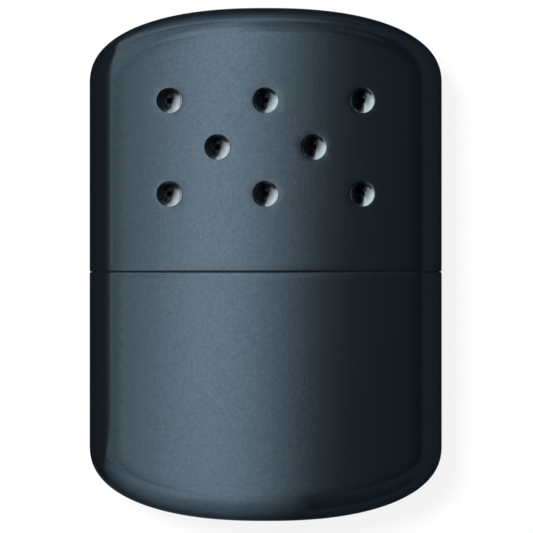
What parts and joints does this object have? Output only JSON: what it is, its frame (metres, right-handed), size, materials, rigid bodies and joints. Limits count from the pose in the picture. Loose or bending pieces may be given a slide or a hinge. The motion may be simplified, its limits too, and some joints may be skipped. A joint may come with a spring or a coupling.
{
  "type": "catalytic hand warmer",
  "caption": "Flat rounded pocket case: a vented cap slides off a cotton-packed fuel tank, and a caged catalytic burner pulls off the tank's oval filler neck.",
  "frame": {"origin": "under the middle of the case, on the surface that its back rests on", "axes": "+Y from the tank's domed end to the cap's domed end, +Z out of the front face, +X to the right seen from the front with the cap up"},
  "size_m": [0.068, 0.099, 0.014],
  "materials": {
    "case_coat": "satin slate-blue coating on sheet steel",
    "bright_nickel": "bright nickel plate on sheet steel",
    "bare_steel": "stamped stainless sheet, satin",
    "spring_steel": "tempered spring strip",
    "wire_gauze": "woven stainless wire",
    "catalyst_cloth": "grey platinum-coated glass cloth",
    "glass_wool": "off-white glass wool",
    "cotton": "loose white cotton wool"
  },
  "bodies": {
    "tank": {"body_shell": "case_coat", "collar_sleeve": "bright_nickel", "tank_deck": "bright_nickel", "filler_neck": "bright_nickel", "cotton_wad_1": "cotton", "cotton_wad_2": "cotton", "cotton_wad_3": "cotton"},
    "cap": {"cap_shell": "case_coat"},
    "burner": {"burner_skirt": "bare_steel", "gauze_screen": "wire_gauze", "cage_wrap": "bare_steel", "cage_end_left": "bare_steel", "cage_end_right": "bare_steel", "catalyst_cloth": "catalyst_cloth", "glass_wool_core": "glass_wool", "cross_pin_left": "bare_steel", "cross_pin_right": "bare_steel", "grip_clip_left": "spring_steel", "grip_clip_right": "spring_steel"}
  },
  "joints": [
    {"name": "cap_slide", "type": "slide", "parent": "tank", "child": "cap", "axis": [0, 1, 0], "range_m": [0, 0.05]},
    {"name": "burner_slide", "type": "slide", "parent": "tank", "child": "burner", "axis": [0, 1, 0], "range_m": [0, 0.015]}
  ]
}
